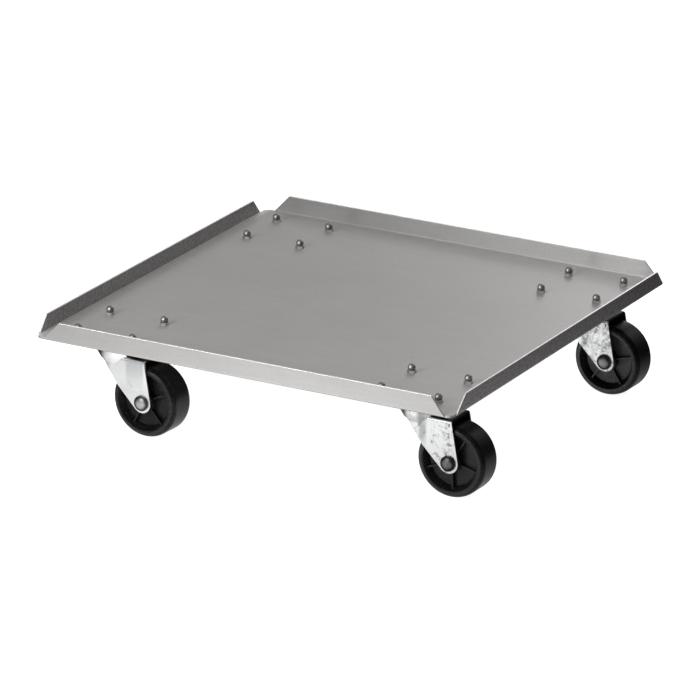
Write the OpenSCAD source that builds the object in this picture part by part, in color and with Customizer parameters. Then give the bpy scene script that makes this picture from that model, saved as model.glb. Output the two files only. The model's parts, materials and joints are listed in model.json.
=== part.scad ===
// Drum dolly: a square sheet-metal tray with four turned-up edges on four swivel casters.
// The origin is on the ground under the tray's centre, +Z up, and +X is the way the casters trail.

/* [Tray] */
// Inside width of the tray, between its left and right edges
tray_w = 639; // [600:1:720]
// Inside depth of the tray, between its front and back edges
tray_d = 643; // [600:1:720]
// Thickness of the tray's sheet
sheet_t = 3; // [2:0.5:3.5]
// Height of the left and right edges above the tray floor
side_h = 22.5; // [14:0.5:40]
// Height of the front and back edges above the tray floor
end_h = 25.5; // [14:0.5:40]
// Outward lean of the edges, in degrees
edge_lean = 0.6; // [0:0.1:10]
// Inside radius of the tray's bends
bend_r = 1; // [0.5:0.5:3]
// Distance from each corner to the root of the edge: right and back edge, two ends each, anticlockwise
end_cut_a = [13.5, 9, 9, 14.5]; // [9:0.5:20]
// The same for the left and front edge
end_cut_b = [16.5, 12, 13, 9.5]; // [9:0.5:20]
// Radius of each corner of the tray floor
corner_r = 9; // [5:0.5:18]
// How far each of those ends slopes back by the time it reaches the top: right and back edge
end_slope_a = [24.5, 19.5, 23, 23.5]; // [8:0.5:30]
// The same for the left and front edge
end_slope_b = [19.5, 20, 25, 19]; // [8:0.5:30]

/* [Casters] */
// Distance between swivel axes, both ways
caster_pitch = 470; // [430:5:480]
// Distance from the caster's mounting face to the ground
caster_h = 139; // [136:1:150]
// Distance from swivel axis to wheel axle
trail = 51; // [46:1:56]
// Distance between the plate's bolts, both ways
bolt_pitch = 86; // [80:1:92]
// Side of the square mounting plate
plate_w = 108; // [104:1:116]
// Thickness of the mounting plate
plate_t = 3; // [2.5:0.5:4]
// Trail direction of each caster about +Z: front left, front right, rear left, rear right
trail_angle = [-3.8, -0.6, 178.7, -1.3];

/* [Wheels] */
// Wheel diameter
wheel_d = 101.6; // [90:0.1:103]
// Width of the tread and of the hub
wheel_w = 45; // [40:1:50]
// Radius of the rounded shoulders
shoulder_r = 8.5; // [4:0.5:10]
// Depth of the recess in each side of the wheel
recess_d = 11; // [5:0.5:13]
// Number of ribs in each recess
ribs = 5; // [3:1:8]
// Angle of one rib from the trail direction: front left, front right, rear left, rear right
rib_angle = [25, -14, 40, 15.5];

/* [Fork] */
// Thickness of the fork's sheet
fork_t = 2.5; // [2:0.5:3]
// Gap between the wheel and each leg
side_gap = 1.5; // [1.5:0.5:3]
// Radius of the rounded foot of each leg
foot_r = 14.2; // [12:0.1:16]
// Radius of the round crown over the ball races
crown_r = 33; // [32:0.5:36]

/* [Hidden] */
$fn = 96;
CORNERS = ["front_left", "front_right", "rear_left", "rear_right"];

floor_z = caster_h;                     // underside of the tray floor
floor_top = floor_z + sheet_t;
bend_out = bend_r + sheet_t;
bend_x = tray_w / 2 - bend_r;           // centre line of the left and right bends
bend_y = tray_d / 2 - bend_r;           // centre line of the front and back bends
corner_lip = 1;                         // how far the floor's corners pass the bends' centre lines

plate_z = floor_z - plate_t;
hole_r = 3.3;                           // clearance holes for the quarter-inch plate bolts
big_ball_r = 4;
big_pitch_r = 23;
small_ball_r = 3;
small_pitch_r = 13;
ball_gap = 0.3;                         // clearance between each ball and the turning fork
crown_top = plate_z - 7;
crown_under = crown_top - 3;
small_ball_z = crown_under - small_ball_r - ball_gap;
cup_top = small_ball_z - small_ball_r + 0.5;
cup_t = 3;
pin_r = 6;
pin_nut_h = 7;
pin_end = cup_top - cup_t - pin_nut_h - 1.5;

leg_out = wheel_w / 2 + side_gap + fork_t;
leg_in = leg_out - fork_t;
web_top = 111.5;                        // top face of the fork's web, behind the crown
fork_bend = 4.5;                        // outside radius of the fork's bends
axle_z = wheel_d / 2;
axle_r = 5;
sleeve_r = 7.5;
bush_r = 10;
hub_r = 15;
run_fit = 0.05;                         // radial clearance of pins, sleeves and bushes

// Angle about c at which a line from p touches a circle of radius r, on the side given by +1 or -1
function touch_angle(p, c, r, side) =
    atan2(p[1] - c[1], p[0] - c[0]) + side * acos(r / norm(p - c));

// Points along an arc about c, from one angle to another, in steps of about 5 degrees
function arc(c, r, from, to) =
    let (n = ceil(abs(to - from) / 5))
    [for (k = [0:n]) let (a = from + (to - from) * k / n) c + r * [cos(a), sin(a)]];

function last(list) = list[len(list) - 1];

function bolt_places() = [for (x = [-1, 1], y = [-1, 1]) [x, y] * bolt_pitch / 2];

// ---- places -------------------------------------------------------------------------------

// Puts children at one caster: origin on the ground under its swivel axis, unturned
module at_swivel(i) {
    translate([(i % 2 == 0 ? -1 : 1) * caster_pitch / 2, (i < 2 ? -1 : 1) * caster_pitch / 2, 0])
        children();
}

// The same, turned so that +X is the way that caster trails
module on_fork(i) {
    at_swivel(i) rotate(trail_angle[i]) children();
}

// Puts children on a caster's axle, with +Z along it, away from the bolt's head, and +X rearwards
module on_axle(i) {
    on_fork(i) translate([trail, 0, axle_z]) rotate([-90, 0, 0]) children();
}

// ---- tray ---------------------------------------------------------------------------------

// Section across one edge: a strip of floor, the bend and the leaning edge
module edge_section(bend_at, h) {
    length = (h - bend_r + bend_r * sin(edge_lean)) / cos(edge_lean);
    centre = [bend_at, bend_out];
    up = length * [sin(edge_lean), cos(edge_lean)];
    outer = arc(centre, bend_out, -90, -edge_lean);
    inner = arc(centre, bend_r, -edge_lean, -90);
    polygon(concat([[bend_at - 20, 0]], outer, [last(outer) + up, inner[0] + up], inner,
        [[bend_at - 20, sheet_t]]));
}

// One edge along Y, on the +X side, with its ends at y0 and y1 cut at slopes
module tray_edge(bend_at, y0, y1, slope0, slope1, h) {
    intersection() {
        translate([0, y1, floor_z]) rotate([90, 0, 0])
            linear_extrude(y1 - y0) edge_section(bend_at, h);
        translate([0, 0, floor_z]) rotate([90, 0, 90]) linear_extrude(tray_w)
            polygon([[y0, -1], [y1, -1], [y1, sheet_t], [y1 - slope1, sheet_t + h],
                [y1 - slope1, sheet_t + h + 5], [y0 + slope0, sheet_t + h + 5],
                [y0 + slope0, sheet_t + h], [y0, sheet_t]]);
    }
}

// One corner of the floor's outline, in the quarter given by the signs of q, from side to end
function floor_corner(q, root_x, root_y) =
    let (centre = [bend_x, bend_y] + [1, 1] * (corner_lip - corner_r))
    let (round = [for (p = arc(centre, corner_r, 0, 90)) [p[0] * q[0], p[1] * q[1]]])
    concat([[bend_x * q[0], root_y * q[1]], [(bend_x + corner_lip) * q[0], root_y * q[1]]], round,
        [[root_x * q[0], (bend_y + corner_lip) * q[1]], [root_x * q[0], bend_y * q[1]]]);

function reversed(list) = [for (k = [len(list) - 1:-1:0]) list[k]];

module deck_tray() {
    cut = concat(end_cut_a, end_cut_b);
    slope = concat(end_slope_a, end_slope_b);
    side = tray_w / 2;
    end = tray_d / 2;
    color("darkgray") difference() {
        union() {
            translate([0, 0, floor_z]) linear_extrude(sheet_t) polygon(concat(
                floor_corner([1, 1], side - cut[2], end - cut[1]),
                reversed(floor_corner([-1, 1], side - cut[3], end - cut[4])),
                floor_corner([-1, -1], side - cut[6], end - cut[5]),
                reversed(floor_corner([1, -1], side - cut[7], end - cut[0]))));
            for (q = [0:3]) {
                bend_at = q % 2 == 0 ? bend_x : bend_y;
                root = q % 2 == 0 ? end : side;
                rotate(90 * q) tray_edge(bend_at, cut[2 * q] - root, root - cut[2 * q + 1],
                    slope[2 * q], slope[2 * q + 1], q % 2 == 0 ? side_h : end_h);
            }
        }
        for (i = [0:3]) at_swivel(i) for (p = bolt_places())
            translate([p[0], p[1], floor_z - 1]) cylinder(r = hole_r, h = sheet_t + 2);
    }
}

// ---- caster fasteners ---------------------------------------------------------------------

bolt_r = 3.175;                         // quarter-inch bolts
nut_af = 11.1;                          // across the flats, 7/16 inch
nut_hex_h = 3.2;
nut_h = 12;
thread_depth = 8;
dome_r = 5.4;                           // the round head of a cap nut
neck_r = 4.4;

module hexagon(af, h) {
    cylinder(d = af / cos(30), h = h, $fn = 6);
}

module cap_nut() {
    difference() {
        union() {
            intersection() {
                hexagon(nut_af, nut_hex_h);
                translate([0, 0, nut_hex_h - 4.8]) cylinder(r1 = nut_af, r2 = nut_af / 2, h = 4.9);
            }
            cylinder(r = neck_r, h = nut_h - dome_r);
            translate([0, 0, nut_h - dome_r]) sphere(r = dome_r);
        }
        translate([0, 0, -1]) cylinder(r = bolt_r, h = thread_depth + 1);
    }
}

module cap_nuts() {
    color("silver") for (i = [0:3]) at_swivel(i) for (p = bolt_places())
        translate([p[0], p[1], floor_top]) rotate(7 * p[0] + 3 * p[1] + 17 * i) cap_nut();
}

washer_t = 1.6;
bolt_head_h = 4;

module plate_bolts() {
    color("silver") for (i = [0:3]) at_swivel(i) for (p = bolt_places())
        translate([p[0], p[1], plate_z - washer_t]) {
            translate([0, 0, -bolt_head_h]) rotate(11 * p[1] + 29 * i) hexagon(nut_af, bolt_head_h);
            cylinder(r = bolt_r - run_fit, h = washer_t + plate_t + sheet_t + thread_depth - 0.5);
        }
}

module plate_washers() {
    color("silver") for (i = [0:3]) at_swivel(i) for (p = bolt_places())
        translate([p[0], p[1], plate_z - washer_t]) difference() {
            cylinder(r = 6, h = washer_t);
            translate([0, 0, -1]) cylinder(r = 3.2, h = washer_t + 2);
        }
}

// ---- swivel head --------------------------------------------------------------------------

module round_square(w, r, h) {
    linear_extrude(h) {
        square([w, w - 2 * r], center = true);
        square([w - 2 * r, w], center = true);
        for (x = [-1, 1], y = [-1, 1]) translate([x, y] * (w / 2 - r)) circle(r = r);
    }
}

// The mounting plate, with the ring that is pressed down outside the upper balls
module swivel_plate(i) {
    color("gainsboro") at_swivel(i) difference() {
        union() {
            translate([0, 0, plate_z]) round_square(plate_w, 8, plate_t);
            translate([0, 0, plate_z - 3.5]) difference() {
                cylinder(r = 31, h = 3.6);
                translate([0, 0, -1]) cylinder(r = 28, h = 5);
            }
        }
        translate([0, 0, plate_z - 1]) cylinder(r = pin_r + run_fit, h = plate_t + 2);
        translate([0, 0, floor_z - 1.5]) cylinder(r = 9 + run_fit, h = 2);
        for (p = bolt_places())
            translate([p[0], p[1], plate_z - 1]) cylinder(r = hole_r, h = plate_t + 2);
    }
}

// A ring of balls that touch neither each other nor the fork
module ball_ring(ball_r, pitch_r, count) {
    for (k = [0:count - 1]) rotate(360 * k / count) translate([pitch_r, 0, 0])
        sphere(r = ball_r, $fn = 32);
}

module upper_balls(i) {
    color("white") at_swivel(i) translate([0, 0, plate_z - big_ball_r])
        ball_ring(big_ball_r, big_pitch_r, 16);
}

module lower_balls(i) {
    color("white") at_swivel(i) translate([0, 0, small_ball_z])
        ball_ring(small_ball_r, small_pitch_r, 12);
}

module race_cup(i) {
    color("gainsboro") at_swivel(i) difference() {
        translate([0, 0, cup_top - cup_t]) cylinder(r = small_pitch_r + 5, h = cup_t);
        translate([0, 0, cup_top - cup_t - 1]) cylinder(r = pin_r + run_fit, h = cup_t + 2);
        translate([0, 0, small_ball_z]) rotate_extrude()
            translate([small_pitch_r, 0]) circle(r = small_ball_r + 0.02);
    }
}

// The kingpin: a flat head let into the plate, and a shank down through both ball races
module kingpin(i) {
    color("silver") at_swivel(i) {
        translate([0, 0, floor_z - 1.5]) cylinder(r = 9, h = 1.5);
        translate([0, 0, pin_end]) cylinder(r = pin_r, h = floor_z - 1 - pin_end);
    }
}

module kingpin_nut(i) {
    color("silver") at_swivel(i) translate([0, 0, cup_top - cup_t - pin_nut_h]) difference() {
        hexagon(18, pin_nut_h);
        translate([0, 0, -1]) cylinder(r = pin_r + run_fit, h = pin_nut_h + 2);
    }
}

// ---- fork ---------------------------------------------------------------------------------

axle_place = [trail, axle_z];
front_rim = [-13.5, 104];               // where the crown's lower rim meets the sloping front
knee = [11.5, 70.3];                    // where the sloping front turns towards the foot
rear_high = [55.7, 103.5];              // near the top of the rear edge
rear_top = [54.3, 110];
rear_slot = [51.5, 104.5];              // small slot in one leg of each right-hand fork
skirt_z = 100;                          // bottom of the crown's skirt
skirt_step = 0.5;                       // how far the skirt's bottom stands out from the legs
panel_d = 0.3;

// Section across the channel behind the swivel axis: square below, with bent upper corners
module channel_section(half, top, bend) {
    translate([-half, 0]) square([2 * half, top - bend]);
    translate([bend - half, 0]) square([2 * (half - bend), top]);
    for (side = [-1, 1]) translate([side * (half - bend), top - bend]) circle(r = bend);
}

// A solid channel: round about the swivel axis in front, straight to past the foot behind
module channel(half, top, bend) {
    cylinder(r = half, h = top - bend);
    rotate([90, 0, 90]) linear_extrude(trail + foot_r + 5) channel_section(half, top, bend);
}

// The solid round crown: a flat top, a drum and a skirt that narrows to the legs
module crown() {
    rotate_extrude() polygon([[0, crown_top], [crown_r - 3, crown_top], [crown_r, crown_top - 3],
        [crown_r, web_top], [leg_out + skirt_step, skirt_z], [0, skirt_z]]);
}

// The space inside the drum, above the channel
module drum_space() {
    inside = crown_r - fork_t;
    rotate_extrude() polygon([[0, web_top - fork_t - 1], [inside, web_top - fork_t - 1],
        [inside, crown_under - 2], [inside - 2, crown_under], [0, crown_under]]);
}

// Side view of the fork, down to the round foot about the axle
module leg_outline() {
    front_touch = touch_angle(knee, axle_place, foot_r, 1);
    rear_touch = touch_angle(rear_high, axle_place, foot_r, -1);
    polygon(concat([[-60, front_rim[1]], front_rim, knee],
        arc(axle_place, foot_r, front_touch, rear_touch + 360),
        [rear_high, rear_top, [rear_top[0] - 2, web_top + 1], [rear_top[0] - 2, crown_top + 5],
        [-60, crown_top + 5]]));
}

// A shallow pressed panel in the outside of each leg
module leg_panel() {
    polygon([[29, 106], [51.5, 103.5], [57.5, 77], [50, 68], [36, 70], [28, 80]]);
}

// Puts a side view through the whole width of the fork
module across_fork(width) {
    translate([0, width / 2, 0]) rotate([90, 0, 0]) linear_extrude(width) children();
}

module fork(i) {
    color("whitesmoke") on_fork(i) difference() {
        intersection() {
            union() {
                channel(leg_out, web_top, fork_bend);
                crown();
            }
            across_fork(4 * leg_out) leg_outline();
        }
        translate([0, 0, -1]) channel(leg_in, web_top - fork_t + 1, fork_bend - fork_t);
        drum_space();
        translate([0, 0, crown_under - 1]) cylinder(r = pin_r + 2, h = 6);
        translate([0, 0, plate_z - big_ball_r]) rotate_extrude()
            translate([big_pitch_r, 0]) circle(r = big_ball_r + ball_gap);
        across_fork(4 * leg_out) translate(axle_place) circle(r = axle_r + run_fit);
        if (i % 2 == 1) translate([rear_slot[0], -leg_out, rear_slot[1]])
            cube([1.8, 2 * fork_t, 4.6], center = true);
        for (side = [-1, 1]) translate([0, side * (leg_out - panel_d + 2), 0])
            across_fork(4) leg_panel();
    }
}

// ---- wheel and axle -----------------------------------------------------------------------

rim_r = wheel_d / 2 - shoulder_r;       // where the shoulder meets the wheel's side
web_r = 35;                             // where the recess reaches the web

// Half section of the wheel, out from its axis, across its width
module wheel_section() {
    half = wheel_w / 2;
    difference() {
        union() {
            translate([bush_r, -half]) square([rim_r - bush_r, wheel_w]);
            translate([bush_r, shoulder_r - half])
                square([wheel_d / 2 - bush_r, wheel_w - 2 * shoulder_r]);
            for (side = [-1, 1]) translate([rim_r, side * (half - shoulder_r)]) circle(r = shoulder_r);
        }
        for (side = [-1, 1]) scale([1, side])
            polygon([[hub_r, half + 1], [hub_r, half - recess_d], [web_r, half - recess_d],
                [rim_r - 1, half], [rim_r - 1, half + 1]]);
    }
}

module wheel(i) {
    rib_t = 2.4;
    rib_lift = 6;                       // how far each rib stands out of the web
    color("dimgray") on_axle(i) difference() {
        union() {
            rotate_extrude() wheel_section();
            for (k = [0:ribs - 1]) rotate(-rib_angle[i] + 360 * k / ribs)
                translate([hub_r - 1, -rib_t / 2, recess_d - rib_lift - wheel_w / 2])
                    cube([web_r - hub_r + 5, rib_t, wheel_w - 2 * (recess_d - rib_lift)]);
        }
        translate([0, 0, -wheel_w]) cylinder(r = bush_r, h = 2 * wheel_w);
    }
}

module tube(outer, inner, h) {
    translate([0, 0, -h / 2]) difference() {
        cylinder(r = outer, h = h);
        translate([0, 0, -1]) cylinder(r = inner, h = h + 2);
    }
}

module wheel_bush(i) {
    color("ivory") on_axle(i) tube(bush_r - 0.02, sleeve_r + run_fit, wheel_w);
}

module axle_sleeve(i) {
    color("silver") on_axle(i) tube(sleeve_r, axle_r + run_fit, 2 * leg_in);
}

module axle_washers(i) {
    color("silver") on_axle(i) for (side = [-1, 1])
        translate([0, 0, side * (leg_in - 0.5)]) tube(13, sleeve_r + run_fit, 1);
}

// The axle bolt, with a low round head on the near leg: a rim, a small step and a dome
module axle_bolt(i) {
    head_r = 10.8;
    rim_h = 2.4;
    dome_base_r = 9.6;
    dome_h = 2.6;
    cap_r = (pow(dome_base_r, 2) + pow(dome_h, 2)) / (2 * dome_h);
    color("gray") on_axle(i) {
        translate([0, 0, -leg_out - rim_h]) cylinder(r = head_r, h = rim_h);
        intersection() {
            translate([0, 0, cap_r - leg_out - rim_h - dome_h]) sphere(r = cap_r);
            translate([0, 0, -leg_out - rim_h - dome_h]) cylinder(r = dome_base_r, h = dome_h + 0.1);
        }
        translate([0, 0, -leg_out - 0.1]) cylinder(r = axle_r, h = 2 * leg_out + 11.6);
    }
}

module axle_nut(i) {
    color("silver") on_axle(i) translate([0, 0, leg_out]) difference() {
        union() {
            hexagon(17, 8);
            cylinder(r = 7.4, h = 10);
        }
        translate([0, 0, -1]) cylinder(r = axle_r + run_fit, h = 12);
    }
}

// ---- drawing ------------------------------------------------------------------------------

deck_tray();
cap_nuts();
plate_bolts();
plate_washers();
swivel_plate(0);  // swivel_plate_front_left
upper_balls(0);  // upper_balls_front_left
fork(0);  // fork_front_left
lower_balls(0);  // lower_balls_front_left
race_cup(0);  // race_cup_front_left
kingpin(0);  // kingpin_front_left
kingpin_nut(0);  // kingpin_nut_front_left
wheel(0);  // wheel_front_left
wheel_bush(0);  // wheel_bush_front_left
axle_sleeve(0);  // axle_sleeve_front_left
axle_washers(0);  // axle_washers_front_left
axle_bolt(0);  // axle_bolt_front_left
axle_nut(0);  // axle_nut_front_left
swivel_plate(1);  // swivel_plate_front_right
upper_balls(1);  // upper_balls_front_right
fork(1);  // fork_front_right
lower_balls(1);  // lower_balls_front_right
race_cup(1);  // race_cup_front_right
kingpin(1);  // kingpin_front_right
kingpin_nut(1);  // kingpin_nut_front_right
wheel(1);  // wheel_front_right
wheel_bush(1);  // wheel_bush_front_right
axle_sleeve(1);  // axle_sleeve_front_right
axle_washers(1);  // axle_washers_front_right
axle_bolt(1);  // axle_bolt_front_right
axle_nut(1);  // axle_nut_front_right
swivel_plate(2);  // swivel_plate_rear_left
upper_balls(2);  // upper_balls_rear_left
fork(2);  // fork_rear_left
lower_balls(2);  // lower_balls_rear_left
race_cup(2);  // race_cup_rear_left
kingpin(2);  // kingpin_rear_left
kingpin_nut(2);  // kingpin_nut_rear_left
wheel(2);  // wheel_rear_left
wheel_bush(2);  // wheel_bush_rear_left
axle_sleeve(2);  // axle_sleeve_rear_left
axle_washers(2);  // axle_washers_rear_left
axle_bolt(2);  // axle_bolt_rear_left
axle_nut(2);  // axle_nut_rear_left
swivel_plate(3);  // swivel_plate_rear_right
upper_balls(3);  // upper_balls_rear_right
fork(3);  // fork_rear_right
lower_balls(3);  // lower_balls_rear_right
race_cup(3);  // race_cup_rear_right
kingpin(3);  // kingpin_rear_right
kingpin_nut(3);  // kingpin_nut_rear_right
wheel(3);  // wheel_rear_right
wheel_bush(3);  // wheel_bush_rear_right
axle_sleeve(3);  // axle_sleeve_rear_right
axle_washers(3);  // axle_washers_rear_right
axle_bolt(3);  // axle_bolt_rear_right
axle_nut(3);  // axle_nut_rear_right
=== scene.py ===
"""Looks for the drum dolly: camera, studio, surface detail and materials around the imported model."""
import json
import math

import bpy
from mathutils import Matrix, Vector


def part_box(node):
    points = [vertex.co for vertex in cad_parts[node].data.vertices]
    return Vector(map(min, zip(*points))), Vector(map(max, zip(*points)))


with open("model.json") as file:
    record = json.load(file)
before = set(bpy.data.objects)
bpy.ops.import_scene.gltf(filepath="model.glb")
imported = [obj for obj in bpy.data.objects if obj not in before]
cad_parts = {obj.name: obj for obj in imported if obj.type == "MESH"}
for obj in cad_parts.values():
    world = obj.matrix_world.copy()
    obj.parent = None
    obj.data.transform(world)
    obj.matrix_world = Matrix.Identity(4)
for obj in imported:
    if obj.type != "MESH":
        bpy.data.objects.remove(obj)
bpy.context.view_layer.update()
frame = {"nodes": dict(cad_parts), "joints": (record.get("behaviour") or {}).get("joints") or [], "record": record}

MM = 0.001
CORNERS = ("front_left", "front_right", "rear_left", "rear_right")
NODES = frame["nodes"]
JOINTS = {joint["name"]: joint for joint in frame["joints"]}
SWIVELS = {corner: JOINTS[f"swivel_{corner}"]["pos_m"] for corner in CORNERS}

tray_low, tray_high = (Vector(c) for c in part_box("deck_tray"))
FLOOR_TOP = frame["record"]["mounts"][0]["pos_m"][2]
SHEET = FLOOR_TOP - tray_low.z


# ---- camera --------------------------------------------------------------------------------

def place_camera():
    """Stands at the photograph's angle and looks at a point on the tray's floor."""
    azimuth = math.radians(28.282)
    elevation = math.radians(19.440)
    roll = math.radians(0.706)
    distance = 8.758
    target = Vector((0.0787, -0.1591, FLOOR_TOP))
    back = Vector((math.sin(azimuth) * math.cos(elevation),
                   -math.cos(azimuth) * math.cos(elevation), math.sin(elevation)))
    level = Vector((math.cos(azimuth), math.sin(azimuth), 0.0))
    upright = back.cross(level)
    right = level * math.cos(roll) + upright * math.sin(roll)
    up = upright * math.cos(roll) - level * math.sin(roll)
    data = bpy.data.cameras.new("camera")
    data.lens = 332.07
    data.sensor_width = 36.0
    data.sensor_fit = "HORIZONTAL"
    data.shift_x = 0.00095
    data.shift_y = 0.00104
    data.clip_end = 100.0
    camera = bpy.data.objects.new("camera", data)
    camera.matrix_world = Matrix.Translation(target + back * distance) @ Matrix(
        (right, up, back)).transposed().to_4x4()
    bpy.context.scene.collection.objects.link(camera)
    bpy.context.scene.camera = camera


# ---- node helpers --------------------------------------------------------------------------

def fill(tree, node, inputs):
    """Sets a node's inputs: a socket is linked, anything else is a value."""
    for name, value in inputs.items():
        if isinstance(value, bpy.types.NodeSocket):
            tree.links.new(value, node.inputs[name])
        else:
            node.inputs[name].default_value = value


def add(tree, kind, inputs=None, **settings):
    """One new node, with its settings and its inputs."""
    node = tree.nodes.new(kind)
    for name, value in settings.items():
        setattr(node, name, value)
    fill(tree, node, inputs or {})
    return node


def calc(tree, operation, a, b=0.0, c=0.0):
    return add(tree, "ShaderNodeMath", {0: a, 1: b, 2: c}, operation=operation).outputs[0]


def product(tree, first, *others):
    for other in others:
        first = calc(tree, "MULTIPLY", first, other)
    return first


def vector_math(tree, operation, a, b=(0.0, 0.0, 0.0)):
    return add(tree, "ShaderNodeVectorMath", {0: a, 1: b}, operation=operation).outputs


def split(tree, vector):
    """The X, Y and Z of a vector, by name."""
    return add(tree, "ShaderNodeSeparateXYZ", {"Vector": vector}).outputs


def own_normal(tree):
    """The X, Y and Z of the way that a face points at rest."""
    return split(tree, add(tree, "ShaderNodeTexCoord").outputs["Normal"])


def remap(tree, value, given, wanted, kind="LINEAR"):
    """Takes a value from one range to another, and holds it at the range's ends."""
    inputs = {"Value": value, "From Min": given[0], "From Max": given[1],
              "To Min": wanted[0], "To Max": wanted[1]}
    return add(tree, "ShaderNodeMapRange", inputs, interpolation_type=kind).outputs[0]


def window(tree, value, rise, fall):
    """A soft window: 0, up to 1 over the rise, back to 0 over the fall."""
    up = remap(tree, value, rise, (0.0, 1.0), "SMOOTHSTEP")
    down = remap(tree, value, fall, (1.0, 0.0), "SMOOTHSTEP")
    return product(tree, up, down)


def noise(tree, where, scale, detail=2.0, roughness=0.5, stretch=None):
    """A noise value, on coordinates that may be stretched along X, Y and Z."""
    if stretch:
        where = vector_math(tree, "MULTIPLY", where, stretch)[0]
    return add(tree, "ShaderNodeTexNoise", {"Vector": where, "Scale": scale, "Detail": detail,
                                            "Roughness": roughness}).outputs["Fac"]


def ramp(tree, value, stops):
    """A colour ramp: stops are (position, grey or colour)."""
    node = add(tree, "ShaderNodeValToRGB", {"Fac": value})
    elements = node.color_ramp.elements
    while len(elements) < len(stops):
        elements.new(0.5)
    for element, (position, colour) in zip(elements, stops):
        element.position = position
        element.color = (*colour, 1) if isinstance(colour, tuple) else (colour, colour, colour, 1)
    return node.outputs["Color"]


def mix(tree, factor, a, b, kind="MIX"):
    return add(tree, "ShaderNodeMix", {0: factor, 6: a, 7: b}, data_type="RGBA",
               blend_type=kind).outputs[2]


def tint(tree, colour, shade, amount=1.0):
    """A colour multiplied by a shade."""
    return mix(tree, amount, colour, shade, "MULTIPLY")


def tint_where(tree, mask, colour, shade):
    """A colour multiplied by a shade, where the mask is 1."""
    return mix(tree, mask, colour, tint(tree, colour, shade))


def bump(tree, height, distance, strength, normal=None):
    inputs = {"Height": height, "Distance": distance, "Strength": strength}
    if normal is not None:
        inputs["Normal"] = normal
    return add(tree, "ShaderNodeBump", inputs).outputs["Normal"]


def new_material(name):
    """A material, its node tree and its shader."""
    material = bpy.data.materials.new(name)
    material.use_nodes = True
    return material, material.node_tree, material.node_tree.nodes["Principled BSDF"]


def object_place(tree):
    """Where a point lies in its object, which is its place in the dolly at rest."""
    return add(tree, "ShaderNodeTexCoord").outputs["Object"]


# ---- studio --------------------------------------------------------------------------------

# Soft lights of the sky: direction, tightness and strength
SKY = {
    "front_left_high": ((-0.30, -0.60, 0.75), 5, 0.561),
    "back_high": ((-0.1, 0.75, 0.65), 8, 1.103),
    "top": ((0.0, 0.0, 1.0), 4, 0.154),
}
# Soft glows of the ground, which the camera doesn't see: centre, half widths and strength
GROUND = {
    "front": ((0.05, -0.62), (0.45, 0.22), 1.719),
    "under": ((0.0, 0.0), (0.34, 0.34), 1.231),
    "front_edge": ((0.15, -0.74), (0.22, 0.15), 0.386),
    "left_crown": ((-0.28, -0.36), (0.12, 0.07), 0.275),
}
# Square softboxes: place, size and power
SOFTBOXES = {
    "back_panel": ((-0.35, 2.3, 0.95), 0.9, 4.3),
    "front_panel": ((-0.75, -2.2, 1.1), 0.8, 25.4),
    "over_front": ((-1.35, -1.0, 2.8), 1.0, 6.0),
}


def camera_sees(tree):
    return add(tree, "ShaderNodeLightPath").outputs["Is Camera Ray"]


def sky():
    """White to the camera, and a few soft lights to everything else."""
    world = bpy.data.worlds.new("studio")
    world.use_nodes = True
    bpy.context.scene.world = world
    tree = world.node_tree
    way = add(tree, "ShaderNodeTexCoord").outputs["Generated"]
    glow = 0.0
    for direction, tightness, strength in SKY.values():
        facing = vector_math(tree, "DOT_PRODUCT", way, Vector(direction).normalized())["Value"]
        lobe = calc(tree, "POWER", calc(tree, "MAXIMUM", facing, 0.0), tightness)
        glow = calc(tree, "MULTIPLY_ADD", lobe, strength, glow)
    fill(tree, tree.nodes["Background"], {
        "Color": mix(tree, camera_sees(tree), glow, (1, 1, 1, 1)), "Strength": 1.0})


def ground():
    """A floor that is pale to the camera, and lights the dolly from below in soft patches."""
    bpy.ops.mesh.primitive_plane_add(size=60, location=(0, 0, 0))
    floor = bpy.context.object
    floor.name = "studio_floor"
    material, tree, shader = new_material("studio_floor")
    place = add(tree, "ShaderNodeNewGeometry").outputs["Position"]
    glow = 0.0
    for (x, y), (half_x, half_y), strength in GROUND.values():
        shifted = vector_math(tree, "ADD", place, (-x, -y, 0.0))[0]
        scaled = vector_math(tree, "MULTIPLY", shifted, (1 / half_x, 1 / half_y, 0.0))[0]
        reach = vector_math(tree, "LENGTH", scaled)["Value"]
        patch = calc(tree, "EXPONENT", product(tree, calc(tree, "POWER", reach, 2.0), -0.7))
        glow = calc(tree, "MULTIPLY_ADD", patch, strength, glow)
    seen = camera_sees(tree)
    fill(tree, shader, {
        "Base Color": mix(tree, seen, (0.05, 0.05, 0.05, 1), (0.82, 0.82, 0.82, 1)),
        "Roughness": 0.9, "Specular IOR Level": 0.0,
        "Emission Color": mix(tree, seen, glow, (0.95, 0.95, 0.95, 1)),
        "Emission Strength": 1.0})
    floor.data.materials.append(material)


def softbox(name, place, size, power):
    """A square area light that faces the middle of the tray."""
    data = bpy.data.lights.new(name, "AREA")
    data.shape = "SQUARE"
    data.size = size
    data.energy = power
    light = bpy.data.objects.new(name, data)
    light.location = place
    way = Vector((0, 0, FLOOR_TOP)) - Vector(place)
    light.rotation_euler = way.to_track_quat("-Z", "Y").to_euler()
    bpy.context.scene.collection.objects.link(light)


def studio():
    bpy.context.scene.view_settings.view_transform = "Standard"
    sky()
    ground()
    for name, box in SOFTBOXES.items():
        softbox(name, *box)


# ---- sheet steel ---------------------------------------------------------------------------

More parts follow.
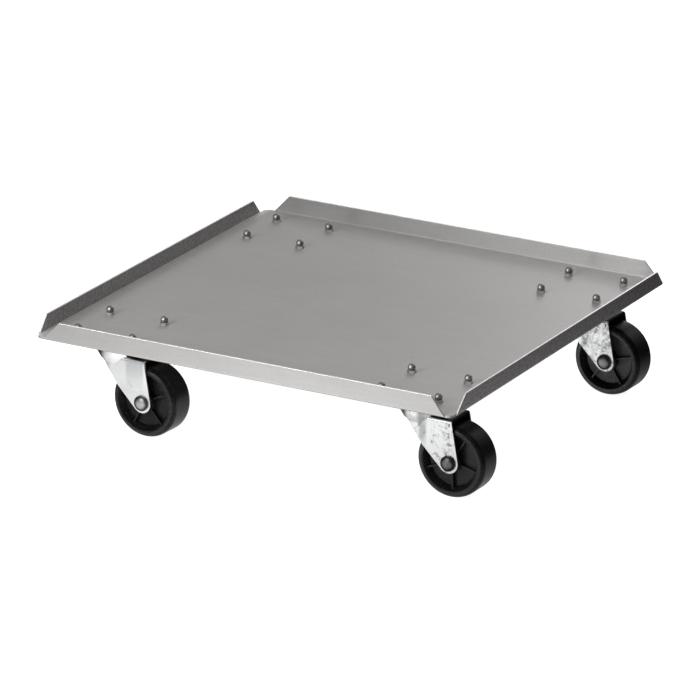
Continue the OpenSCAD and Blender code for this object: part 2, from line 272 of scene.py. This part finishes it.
def sheet_steel():
    """Satin rolled sheet: fine grain, faint cloudiness, light rolling marks and bright cut edges."""
    material, tree, shader = new_material("satin_sheet_steel")
    where = object_place(tree)
    cloud = noise(tree, where, 7, 4, 0.6)
    grain = noise(tree, where, 1100, 2, 0.6)
    speckle = noise(tree, where, 330, 3, 0.6)
    rolled = noise(tree, where, 160, 3, 0.6, stretch=(0.10, 1.0, 1.0))
    tone = calc(tree, "MULTIPLY_ADD", cloud, 0.45, product(tree, rolled, 0.55))
    colour = ramp(tree, tone, [(0.32, (0.525, 0.517, 0.507)), (0.68, (0.585, 0.577, 0.566))])
    colour = tint(tree, colour, ramp(tree, grain, [(0.35, 0.95), (0.65, 1.04)]))
    colour = tint(tree, colour, ramp(tree, speckle, [(0.33, 0.93), (0.5, 1.0)]))
    facing = own_normal(tree)
    colour = blotched_sides(tree, where, facing, colour)
    colour = painted_light_back_edge(tree, where, facing, colour)
    colour = painted_light_floor(tree, where, facing, colour)
    # Painted shade: faces that point down are painted dark.
    below = calc(tree, "LESS_THAN", facing["Z"], -0.6)
    colour = mix(tree, below, colour, (0.16, 0.158, 0.155, 1))
    cut = cut_faces(tree, where)
    sheared = ramp(tree, noise(tree, where, 500, 3, 0.6), [(0.3, (0.93, 0.93, 0.94)),
                                                           (0.7, (1.0, 1.0, 1.0))])
    fill(tree, shader, {
        "Base Color": mix(tree, cut, colour, sheared),
        "Metallic": calc(tree, "MULTIPLY_ADD", cut, 0.5, 0.45),
        "Roughness": remap(tree, calc(tree, "MULTIPLY_ADD", speckle, 0.4, tone), (0, 1), (0.34, 0.50)),
        "Specular IOR Level": 0.3,
        "Normal": bump(tree, grain, 0.00005, 0.30, bump(tree, cloud, 0.001, 0.03))})
    return material


def blotched_sides(tree, where, facing, colour):
    """The left and right edges have a coarse grain."""
    side = calc(tree, "GREATER_THAN", calc(tree, "ABSOLUTE", facing["X"]), 0.7)
    blotch = ramp(tree, noise(tree, where, 260, 3, 0.7), [(0.36, (0.70, 0.67, 0.70)),
                                                          (0.64, (1.22, 1.18, 1.21))])
    return tint_where(tree, side, colour, blotch)


def painted_light_back_edge(tree, where, facing, colour):
    """Painted light: the inner face of the back edge is painted paler from left to right."""
    place = split(tree, where)
    back = product(tree, calc(tree, "GREATER_THAN", place["Y"], tray_high.y - 5 * MM),
                   calc(tree, "LESS_THAN", facing["Y"], -0.7))
    return tint_where(tree, back, colour, remap(tree, place["X"], (-0.15, 0.32), (0.80, 1.32)))


def painted_light_floor(tree, where, facing, colour):
    """Painted light: the floor is painted paler in its front-left corner and in a strip along its left edge."""
    away = vector_math(tree, "DISTANCE", where, (tray_low.x, tray_low.y, FLOOR_TOP))["Value"]
    painted_corner_light = remap(tree, away, (25 * MM, 60 * MM), (1.45, 1.0), "SMOOTHSTEP")
    painted_edge_light = remap(tree, split(tree, where)["X"], (tray_low.x + SHEET, tray_low.x + 18 * MM),
                      (1.75, 1.0), "SMOOTHSTEP")
    flat = calc(tree, "GREATER_THAN", facing["Z"], 0.8)
    return tint_where(tree, flat, colour, calc(tree, "MAXIMUM", painted_corner_light, painted_edge_light))


def cut_faces(tree, where):
    """1 on the sheared tops and ends of the tray's edges, and less at its open corners."""
    corner_shine = 0.35
    normal = split(tree, add(tree, "ShaderNodeNewGeometry").outputs["True Normal"])
    place = split(tree, where)
    raised = calc(tree, "GREATER_THAN", place["Z"], FLOOR_TOP + 1.2 * MM)
    rims = 0.0
    corners = 1.0
    for axis, reach in (("X", tray_high.x), ("Y", tray_high.y)):
        away = calc(tree, "ABSOLUTE", place[axis])
        outside = calc(tree, "GREATER_THAN", away, reach - SHEET - 1.0 * MM)
        across = calc(tree, "LESS_THAN", calc(tree, "ABSOLUTE", normal[axis]), 0.95)
        rims = calc(tree, "MAXIMUM", product(tree, outside, across, raised), rims)
        corners = product(tree, corners, calc(tree, "GREATER_THAN", away, reach - 15 * MM))
    upright = calc(tree, "LESS_THAN", calc(tree, "ABSOLUTE", normal["Z"]), 0.5)
    low = calc(tree, "SUBTRACT", 1.0, raised)
    return calc(tree, "MAXIMUM", rims, product(tree, corners, upright, low, corner_shine))


# ---- plated steel --------------------------------------------------------------------------

def bright_zinc(name, base, mottle=1.0, roughness=0.32, smudges=(), trims=()):
    """Zinc plate: mottled patches, small dull marks, fine scratches and a crystalline grain.

    A smudge is its scale, the noise value that it is centred on, and how dark it is. A trim is a
    function that changes the colour and the roughness in some places.
    """
    material, tree, shader = new_material(name)
    where = object_place(tree)
    patch = noise(tree, where, 95, 5, 0.62)
    mark = noise(tree, where, 210, 3, 0.55)
    scratch = noise(tree, where, 260, 2, 0.5, stretch=(1.0, 1.0, 0.12))
    crystal = add(tree, "ShaderNodeTexVoronoi", {"Vector": where, "Scale": 420.0}).outputs["Distance"]
    shade = ramp(tree, patch, [(0.30, 1.0 - 0.30 * mottle), (0.48, 1.0 - 0.08 * mottle), (0.62, 1.0)])
    marks = ramp(tree, mark, [(0.30, 1.0 - 0.50 * mottle), (0.42, 1.0)])
    scratches = ramp(tree, scratch, [(0.30, 1.0 - 0.2 * mottle), (0.40, 1.0)])
    colour = tint(tree, (*base, 1), shade)
    colour = tint(tree, colour, marks, 0.8)
    colour = tint(tree, colour, scratches)
    for size, middle, dark in smudges:
        dirt = noise(tree, where, size, 5, 0.68)
        colour = tint(tree, colour, ramp(tree, dirt, [
            (middle - 0.06, dark), (middle, 0.5 + 0.5 * dark), (middle + 0.08, 1.0)]))
    rough = remap(tree, patch, (0, 1), (roughness - 0.08, roughness + 0.16))
    for trim in trims:
        colour, rough = trim(tree, where, colour, rough)
    fill(tree, shader, {
        "Base Color": colour, "Metallic": 1.0, "Roughness": rough,
        "Normal": bump(tree, crystal, 0.0002, 0.10, bump(tree, patch, 0.0006, 0.12))})
    return material


def painted_light_nut(tree, where, colour, rough):
    """Painted light on a cap nut: its hexagon is rough and painted paler towards +X, and its round head is painted
    darker outside one brighter band, a painted highlight.
    """
    facing = own_normal(tree)
    hexagon = calc(tree, "LESS_THAN", split(tree, where)["Z"], FLOOR_TOP + 3.3 * MM)
    painted_band = window(tree, facing["Z"], (-0.15, 0.30), (0.55, 0.92))
    head = tint(tree, colour, ramp(tree, painted_band, [(0.0, 0.50), (1.0, 1.0)]))
    side = ramp(tree, calc(tree, "MULTIPLY_ADD", facing["X"], 0.5, 0.5),
                [(0.25, (0.37, 0.366, 0.36)), (0.85, (0.84, 0.83, 0.82))])
    return mix(tree, hexagon, head, side), calc(tree, "MULTIPLY_ADD", hexagon, 0.30, rough)


def painted_shade_rim(node):
    """The trim of an axle bolt whose head has painted shade, dark round its rim."""
    low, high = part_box(node)
    centre = ((low[0] + high[0]) / 2, 0.0, (low[2] + high[2]) / 2)
    centimetres = 100.0

    def trim(tree, where, colour, rough):
        beside = vector_math(tree, "MULTIPLY", where, (1.0, 0.0, 1.0))[0]
        reach = vector_math(tree, "DISTANCE", beside, centre)["Value"]
        painted_rim_shade = ramp(tree, product(tree, reach, centimetres), [(0.52, 1.0), (0.86, 0.12)])
        return tint(tree, colour, painted_rim_shade), rough
    return trim


def painted_shade_band(swivel, across, upright, depth):
    """The trim of a fork with a band of painted shade: mm behind the swivel, mm above the ground."""
    def trim(tree, where, colour, rough):
        place = split(tree, where)
        behind = calc(tree, "MULTIPLY_ADD", place["X"], 1 / MM, -swivel[0] / MM)
        height = product(tree, place["Z"], 1 / MM)
        spot = product(tree, window(tree, behind, *across), window(tree, height, *upright))
        return tint(tree, colour, calc(tree, "MULTIPLY_ADD", spot, -depth, 1.0)), rough
    return trim


def painted_shade_inside(swivel, way):
    """A fork's trim of painted shade on its inner sides; it trails along X (way 1) or against it (way -1).

    It measures along X and Y, so it strays where a fork rests at an angle to them.
    """
    inside_legs = 24.4 * MM
    behind_swivel = 8 * MM

    def trim(tree, where, colour, rough):
        place = split(tree, where)
        across = calc(tree, "ABSOLUTE", calc(tree, "SUBTRACT", place["Y"], swivel[1]))
        behind = calc(tree, "MULTIPLY_ADD", place["X"], way, -way * swivel[0])
        inner = product(tree, calc(tree, "LESS_THAN", across, inside_legs),
                        calc(tree, "GREATER_THAN", behind, behind_swivel))
        return mix(tree, inner, colour, (0.07, 0.07, 0.068, 1)), rough
    return trim


# Bands of painted shade on the forks: where each rises and falls behind the swivel, the same above the
# ground, both in mm, and how deep it is
PANEL = (((20, 27), (50, 53)), ((58, 104), (108, 110)), 0.27)
FOOT = (((8, 16), (70, 80)), ((20, 34), (62, 84)), 0.16)
FOLD = (((2, 9), (12, 20)), ((64, 86), (118, 124)), 0.42)
FRONT = (((-90, -80), (-18, -7)), ((95, 102), (130, 134)), 0.97)
WEB = (((24, 36), (90, 100)), ((109.8, 111), (130, 134)), 0.85)

ZINC = (0.96, 0.97, 0.975)
# Plating of each fork: base colour, mottle, smudges, bands of painted shade, and the way it trails along X
FORKS = {
    "front_left": (ZINC, 0.12, (), (PANEL, FOOT, FRONT, WEB), 1.0),
    "front_right": ((0.68, 0.685, 0.69), 0.4, ((120, 0.385, 0.25),), (FOLD, FRONT, WEB), 1.0),
    "rear_left": (ZINC, 0.5, ((150, 0.40, 0.3),), (), -1.0),
    "rear_right": (ZINC, 0.4, ((75, 0.44, 0.5), (200, 0.43, 0.4)), (WEB,), 1.0),
}
# Each axle bolt's base colour and mottle
AXLE_BOLTS = {
    "front_left": ((0.50, 0.495, 0.50), 0.4),
    "front_right": ((0.17, 0.158, 0.15), 1.4),
    "rear_left": ((0.24, 0.23, 0.22), 1.0),
    "rear_right": ((0.32, 0.31, 0.318), 1.2),
}


def fork_zinc(corner):
    base, mottle, smudges, bands, way = FORKS[corner]
    swivel = SWIVELS[corner]
    trims = [painted_shade_band(swivel, *band) for band in bands]
    trims.append(painted_shade_inside(swivel, way))
    return bright_zinc(f"fork_zinc_{corner}", base, mottle, smudges=smudges, trims=trims)


def axle_steel(corner):
    base, mottle = AXLE_BOLTS[corner]
    return bright_zinc(f"axle_steel_{corner}", base, mottle, 0.36,
                       trims=[painted_shade_rim(f"axle_bolt_{corner}")])


# ---- plastics ------------------------------------------------------------------------------

# Each wheel's brightness at its side faces, which is painted light set wheel by wheel, and its specular level
WHEELS = {"front_left": (0.6, 0.13), "front_right": (0.85, 0.22),
          "rear_left": (1.0, 0.22), "rear_right": (6.0, 0.22)}


def black_plastic(corner):
    """Moulded black plastic: satin skin, fine texture and dusty scuffs, with painted light: paler side faces and
    painted highlights along the tread's edge and round the side faces.
    """
    bright, shine = WHEELS[corner]
    material, tree, shader = new_material(f"black_plastic_{corner}")
    where = object_place(tree)
    skin = noise(tree, where, 1500, 2, 0.5)
    scuff = noise(tree, where, 60, 5, 0.65)
    dust = noise(tree, where, 420, 3, 0.6)
    sideways = calc(tree, "ABSOLUTE", own_normal(tree)["Y"])
    colour = ramp(tree, scuff, [(0.35, (0.0045, 0.0045, 0.0039)), (0.7, (0.0090, 0.0090, 0.0082))])
    # Painted light: the side faces are paler, by a brightness set wheel by wheel.
    face = ramp(tree, scuff, [(0.35, (0.0120 * bright, 0.0124 * bright, 0.0132 * bright)),
                              (0.7, (0.0220 * bright, 0.0227 * bright, 0.0240 * bright))])
    colour = mix(tree, calc(tree, "GREATER_THAN", sideways, 0.9), colour, face)
    # Painted highlight: a paler line where the tread turns into the shoulder, broken up by the scuffs.
    painted_tread_highlight = product(tree, window(tree, sideways, (0.05, 0.14), (0.18, 0.32)),
                   ramp(tree, scuff, [(0.42, 0.15), (0.6, 0.9)]))
    colour = mix(tree, painted_tread_highlight, colour, (0.055, 0.055, 0.057, 1))
    # Painted highlight: a paler line at the rim of each side face, broken up by the dust.
    painted_side_highlight = product(tree, window(tree, sideways, (0.86, 0.93), (0.985, 0.998)),
                   ramp(tree, dust, [(0.38, 0.2), (0.6, 0.9)]))
    colour = mix(tree, painted_side_highlight, colour, (0.050, 0.051, 0.054, 1))
    dusty = ramp(tree, dust, [(0.50, 0.0), (0.66, 0.8)])
    fill(tree, shader, {
        "Base Color": mix(tree, dusty, colour, (0.030, 0.030, 0.029, 1)),
        "Roughness": remap(tree, scuff, (0, 1), (0.22, 0.42)), "Specular IOR Level": shine,
        "Normal": bump(tree, skin, 0.00005, 0.5, bump(tree, dust, 0.0002, 0.3))})
    return material


def natural_nylon():
    """Cream plastic, faintly cloudy and slightly see-through."""
    material, tree, shader = new_material("natural_nylon")
    cloud = noise(tree, object_place(tree), 120, 3, 0.5)
    fill(tree, shader, {
        "Base Color": ramp(tree, cloud, [(0.3, (0.62, 0.59, 0.50)), (0.7, (0.74, 0.72, 0.64))]),
        "Roughness": 0.45, "Subsurface Weight": 0.1,
        "Normal": bump(tree, cloud, 0.0002, 0.1)})
    return material


# ---- edges and shading of the CAD nodes ----------------------------------------------------

# Points closer than this are one point
WELD_GAP = 0.002 * MM


def geometry_group(name):
    """A new geometry-node group, and the mesh that comes into it."""
    group = bpy.data.node_groups.new(name, "GeometryNodeTree")
    for end in ("INPUT", "OUTPUT"):
        group.interface.new_socket("Geometry", in_out=end, socket_type="NodeSocketGeometry")
    return group, add(group, "NodeGroupInput").outputs[0]


def compare(group, operation, value, limit):
    return add(group, "FunctionNodeCompare", {0: value, 1: limit}, operation=operation).outputs[0]


def edge_turn(group):
    return add(group, "GeometryNodeInputMeshEdgeAngle").outputs["Unsigned Angle"]


def smooth_group(angle):
    """Geometry nodes that shade smooth, except across edges sharper than the angle."""
    name = f"smooth_{angle}"
    if name in bpy.data.node_groups:
        return bpy.data.node_groups[name]
    group, mesh = geometry_group(name)
    flat = compare(group, "LESS_THAN", edge_turn(group), math.radians(angle))
    for domain, shade in (("FACE", True), ("EDGE", flat)):
        mesh = add(group, "GeometryNodeSetShadeSmooth", {"Geometry": mesh, "Shade Smooth": shade},
                   domain=domain).outputs[0]
    add(group, "NodeGroupOutput", {0: mesh})
    return group


def round_rim(node, width):
    """Rounds the long edges round the tray's rim, above its bends."""
    group, mesh = geometry_group("rim_edges")
    joined = add(group, "GeometryNodeMergeByDistance",
                 {"Geometry": mesh, "Distance": WELD_GAP}).outputs[0]
    height = split(group, add(group, "GeometryNodeInputPosition").outputs[0])["Z"]
    high = compare(group, "GREATER_THAN", height, FLOOR_TOP + 4 * MM)
    sharp = compare(group, "GREATER_THAN", edge_turn(group), math.radians(35))
    chosen = add(group, "FunctionNodeBooleanMath", {0: high, 1: sharp}, operation="AND").outputs[0]
    marked = add(group, "GeometryNodeStoreNamedAttribute", {
        "Geometry": joined, "Selection": chosen, "Name": "bevel_weight_edge", "Value": 1.0},
        data_type="FLOAT", domain="EDGE").outputs[0]
    add(group, "NodeGroupOutput", {0: marked})
    mark = node.modifiers.new("mark_rim", "NODES")
    mark.node_group = group
    rim = node.modifiers.new("rim", "BEVEL")
    rim.width = width
    rim.segments = 4
    rim.limit_method = "WEIGHT"
    rim.use_clamp_overlap = False


def dress(name, material, bevel=0.3 * MM):
    """Gives a CAD node its material, soft edges and smooth curves."""
    sharp_angle = 30
    node = NODES[name]
    node.data.materials.clear()
    node.data.materials.append(material)
    weld = node.modifiers.new("weld", "WELD")
    weld.merge_threshold = WELD_GAP
    if bevel:
        edge = node.modifiers.new("edge", "BEVEL")
        edge.width = bevel
        edge.segments = 2
        edge.limit_method = "ANGLE"
        edge.angle_limit = math.radians(sharp_angle)
        edge.harden_normals = False
    smooth = node.modifiers.new("smooth", "NODES")
    smooth.node_group = smooth_group(sharp_angle)
    flatten = node.modifiers.new("flatten", "WEIGHTED_NORMAL")
    flatten.keep_sharp = True


def dress_deck(fastener):
    nut = bright_zinc("cap_nut_steel", (0.56, 0.548, 0.54), 0.3, 0.42, trims=[painted_light_nut])
    round_rim(NODES["deck_tray"], 0.9 * MM)
    dress("deck_tray", sheet_steel(), 0.6 * MM)
    dress("cap_nuts", nut, 0.25 * MM)
    dress("plate_bolts", fastener)
    dress("plate_washers", fastener, 0.2 * MM)


def dress_casters(fastener):
    plate = bright_zinc("plate_zinc", (0.45, 0.46, 0.47), 0.6)
    ball = bright_zinc("ball_steel", (0.75, 0.75, 0.76), 0.1, 0.12)
    nylon = natural_nylon()
    shared = {"swivel_plate": plate, "race_cup": plate, "kingpin": fastener,
              "kingpin_nut": fastener, "wheel_bush": nylon, "axle_sleeve": fastener,
              "axle_washers": fastener, "axle_nut": fastener}
    for corner in CORNERS:
        for part, material in shared.items():
            dress(f"{part}_{corner}", material)
        dress(f"upper_balls_{corner}", ball, 0)
        dress(f"lower_balls_{corner}", ball, 0)
        dress(f"fork_{corner}", fork_zinc(corner), 0.2 * MM)
        dress(f"wheel_{corner}", black_plastic(corner))
        dress(f"axle_bolt_{corner}", axle_steel(corner))


place_camera()
studio()
zinc_fasteners = bright_zinc("fastener_zinc", (0.62, 0.62, 0.62), 0.4)
dress_deck(zinc_fasteners)
dress_casters(zinc_fasteners)
